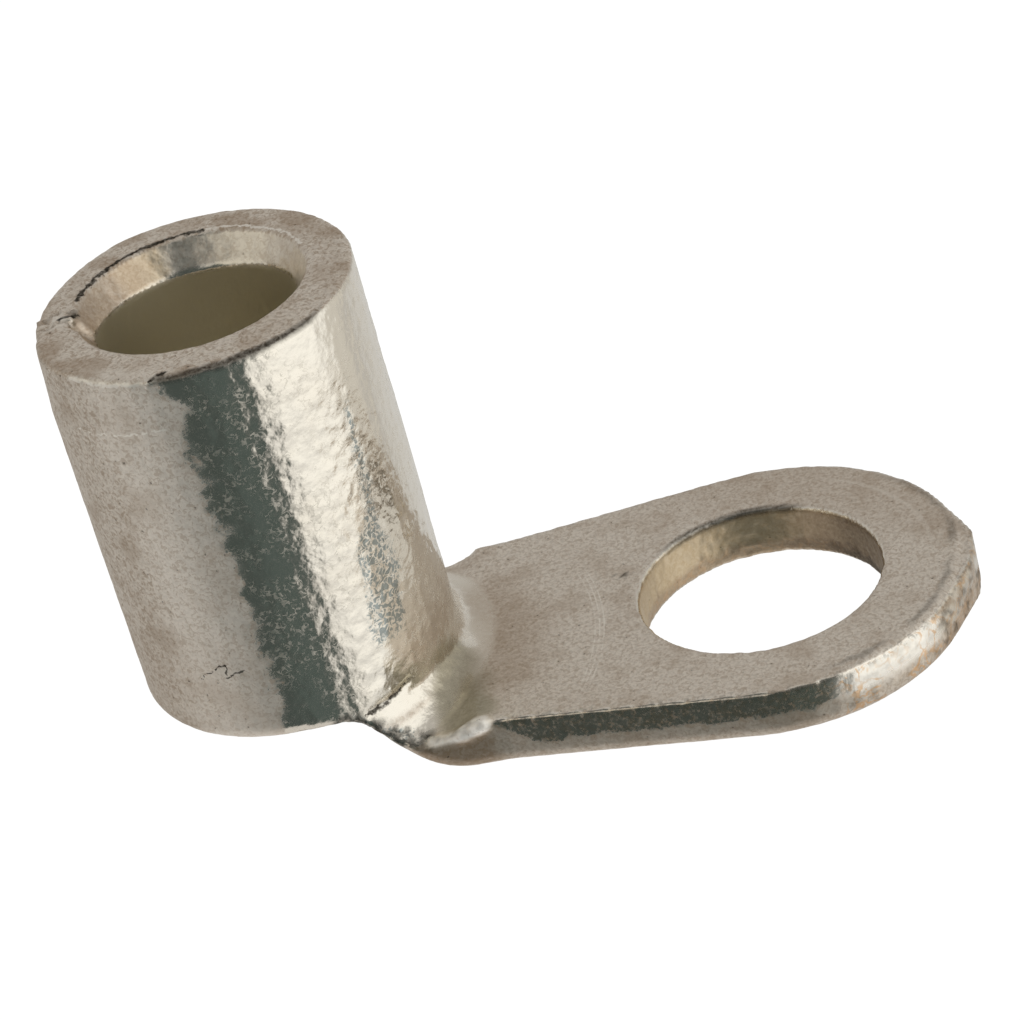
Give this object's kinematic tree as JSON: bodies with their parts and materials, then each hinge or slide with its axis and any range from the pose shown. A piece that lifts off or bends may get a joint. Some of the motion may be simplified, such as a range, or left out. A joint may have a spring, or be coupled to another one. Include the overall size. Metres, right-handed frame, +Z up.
{
  "type": "right-angle ring cable lug",
  "caption": "Right-angle ring cable lug of tin-plated copper: a rolled barrel takes the bared end of a wire, and a flat ring tongue is clamped under a stud's nut.",
  "frame": {"origin": "centre of the stud hole on the face of the tongue that is clamped down", "axes": "+X from the stud hole to the ring's tip, with the barrel behind at -X; +Z up through the tongue and along the barrel to its open rim"},
  "size_m": [0.0147, 0.007, 0.0088],
  "materials": {
    "tinned_copper": "satin tin plate on copper, hammered and stained, with copper showing through on the tip's edge"
  },
  "bodies": {
    "root": {"cable_lug": "tinned_copper"}
  },
  "joints": []
}
